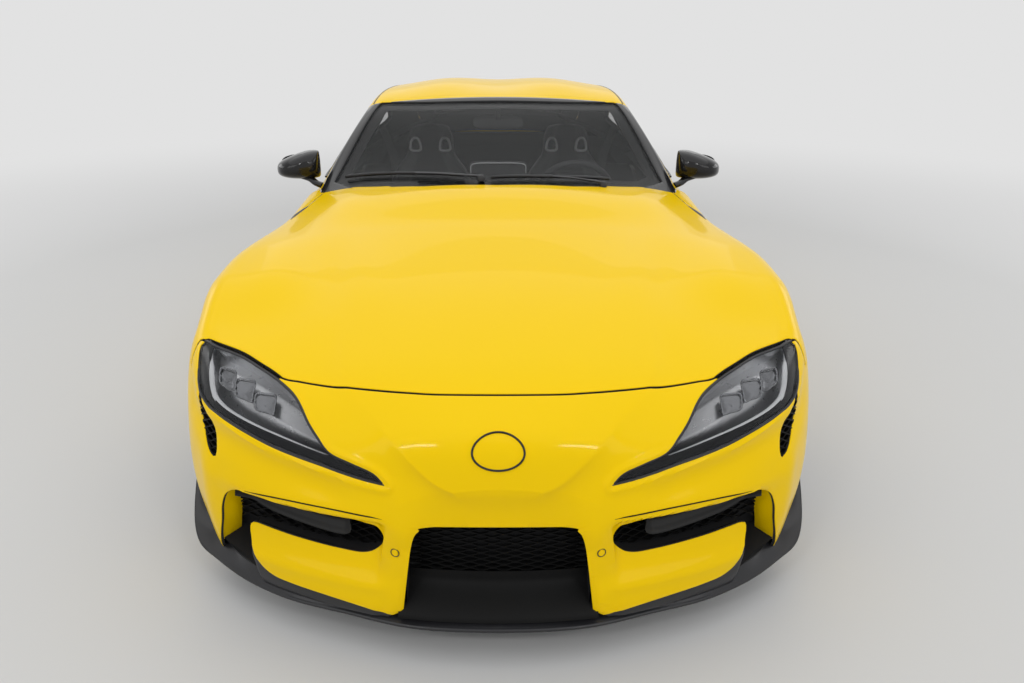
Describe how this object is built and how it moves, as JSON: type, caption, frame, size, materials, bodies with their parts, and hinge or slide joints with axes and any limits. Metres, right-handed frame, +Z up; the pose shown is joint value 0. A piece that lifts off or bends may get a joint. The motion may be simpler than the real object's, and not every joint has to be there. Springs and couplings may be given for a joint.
{
  "type": "coupe car",
  "caption": "Two-seat fastback coupe car with long clamshell bonnet, two doors, lift-up tailgate, steered front wheels and a mesh grille nose.",
  "frame": {"origin": "on the ground, under the middle of the car", "axes": "+Z up, the nose towards -Y, the driver's side towards +X"},
  "size_m": [1.972, 4.38, 1.2928],
  "materials": {
    "body_paint": "gloss",
    "gloss_black": "gloss",
    "satin_black": "satin",
    "mesh_black": "matte",
    "cabin_glass": "gloss",
    "lamp_clear": "gloss",
    "lamp_red": "gloss",
    "chassis_black": "matte",
    "suspension_metal": "satin",
    "cast_alloy": "satin",
    "caliper_grey": "satin",
    "brake_iron": "brushed",
    "tyre_rubber": "matte",
    "wheel_black": "gloss",
    "tailpipe_chrome": "polished",
    "interior_trim": "satin",
    "seat_leather": "satin"
  },
  "bodies": {
    "root": {"front_bumper": "body_paint", "front_wings": "body_paint", "headlamps": "lamp_clear", "front_lip": "satin_black", "grilles": "mesh_black", "intake_vanes": "gloss_black", "front_carrier": "chassis_black", "underbody": "chassis_black", "engine_block": "cast_alloy", "front_subframe": "suspension_metal", "rear_subframe": "suspension_metal", "rear_caliper_left": "caliper_grey", "rear_caliper_right": "caliper_grey", "sills": "satin_black", "rear_wings": "body_paint", "roof": "body_paint", "fixed_glass": "cabin_glass", "wipers": "satin_black", "rear_bumper": "body_paint", "tail_lamps": "lamp_red", "diffuser": "satin_black", "exhaust_tips": "tailpipe_chrome", "dashboard": "interior_trim", "steering_wheel": "seat_leather", "seats": "seat_leather"},
    "knuckle_left": {"knuckle_left": "suspension_metal", "front_caliper_left": "caliper_grey"},
    "knuckle_right": {"knuckle_right": "suspension_metal", "front_caliper_right": "caliper_grey"},
    "door_left": {"door_left": "body_paint", "door_glass_left": "cabin_glass", "mirror_left": "gloss_black"},
    "door_right": {"door_right": "body_paint", "door_glass_right": "cabin_glass", "mirror_right": "gloss_black"},
    "bonnet": {"bonnet": "body_paint"},
    "tailgate": {"tailgate": "body_paint", "tailgate_glass": "cabin_glass"},
    "wheel_front_left": {"tyre_front_left": "tyre_rubber", "rim_front_left": "wheel_black", "brake_disc_front_left": "brake_iron"},
    "wheel_front_right": {"tyre_front_right": "tyre_rubber", "rim_front_right": "wheel_black", "brake_disc_front_right": "brake_iron"},
    "wheel_rear_left": {"tyre_rear_left": "tyre_rubber", "rim_rear_left": "wheel_black", "brake_disc_rear_left": "brake_iron"},
    "wheel_rear_right": {"tyre_rear_right": "tyre_rubber", "rim_rear_right": "wheel_black", "brake_disc_rear_right": "brake_iron"}
  },
  "joints": [
    {"name": "steer_left", "type": "hinge", "parent": "root", "child": "knuckle_left", "pos_m": [0.775, -1.26, 0.33], "axis": [0, 0, 1], "range_deg": [-34, 34]},
    {"name": "steer_right", "type": "hinge", "parent": "root", "child": "knuckle_right", "pos_m": [-0.775, -1.26, 0.33], "axis": [0, 0, 1], "range_deg": [-34, 34]},
    {"name": "wheel_front_left_spin", "type": "hinge", "parent": "knuckle_left", "child": "wheel_front_left", "pos_m": [0.785, -1.26, 0.33], "axis": [1, 0, 0], "continuous": true},
    {"name": "wheel_front_right_spin", "type": "hinge", "parent": "knuckle_right", "child": "wheel_front_right", "pos_m": [-0.785, -1.26, 0.33], "axis": [1, 0, 0], "continuous": true},
    {"name": "wheel_rear_left_spin", "type": "hinge", "parent": "root", "child": "wheel_rear_left", "pos_m": [0.78, 1.21, 0.337], "axis": [1, 0, 0], "continuous": true},
    {"name": "wheel_rear_right_spin", "type": "hinge", "parent": "root", "child": "wheel_rear_right", "pos_m": [-0.78, 1.21, 0.337], "axis": [1, 0, 0], "continuous": true},
    {"name": "door_left_hinge", "type": "hinge", "parent": "root", "child": "door_left", "pos_m": [0.868, -0.53, 0.5], "axis": [0, 0, -1], "range_deg": [0, 65]},
    {"name": "door_right_hinge", "type": "hinge", "parent": "root", "child": "door_right", "pos_m": [-0.868, -0.53, 0.5], "axis": [0, 0, 1], "range_deg": [0, 65]},
    {"name": "bonnet_hinge", "type": "hinge", "parent": "root", "child": "bonnet", "pos_m": [0, -0.37, 0.83], "axis": [-1, 0, 0], "range_deg": [0, 45]},
    {"name": "tailgate_hinge", "type": "hinge", "parent": "root", "child": "tailgate", "pos_m": [0, 0.766, 1.257], "axis": [1, 0, 0], "range_deg": [0, 70]}
  ],
  "couplings": [
    {"joint": "steer_right", "follows": "steer_left", "ratio": 1}
  ]
}
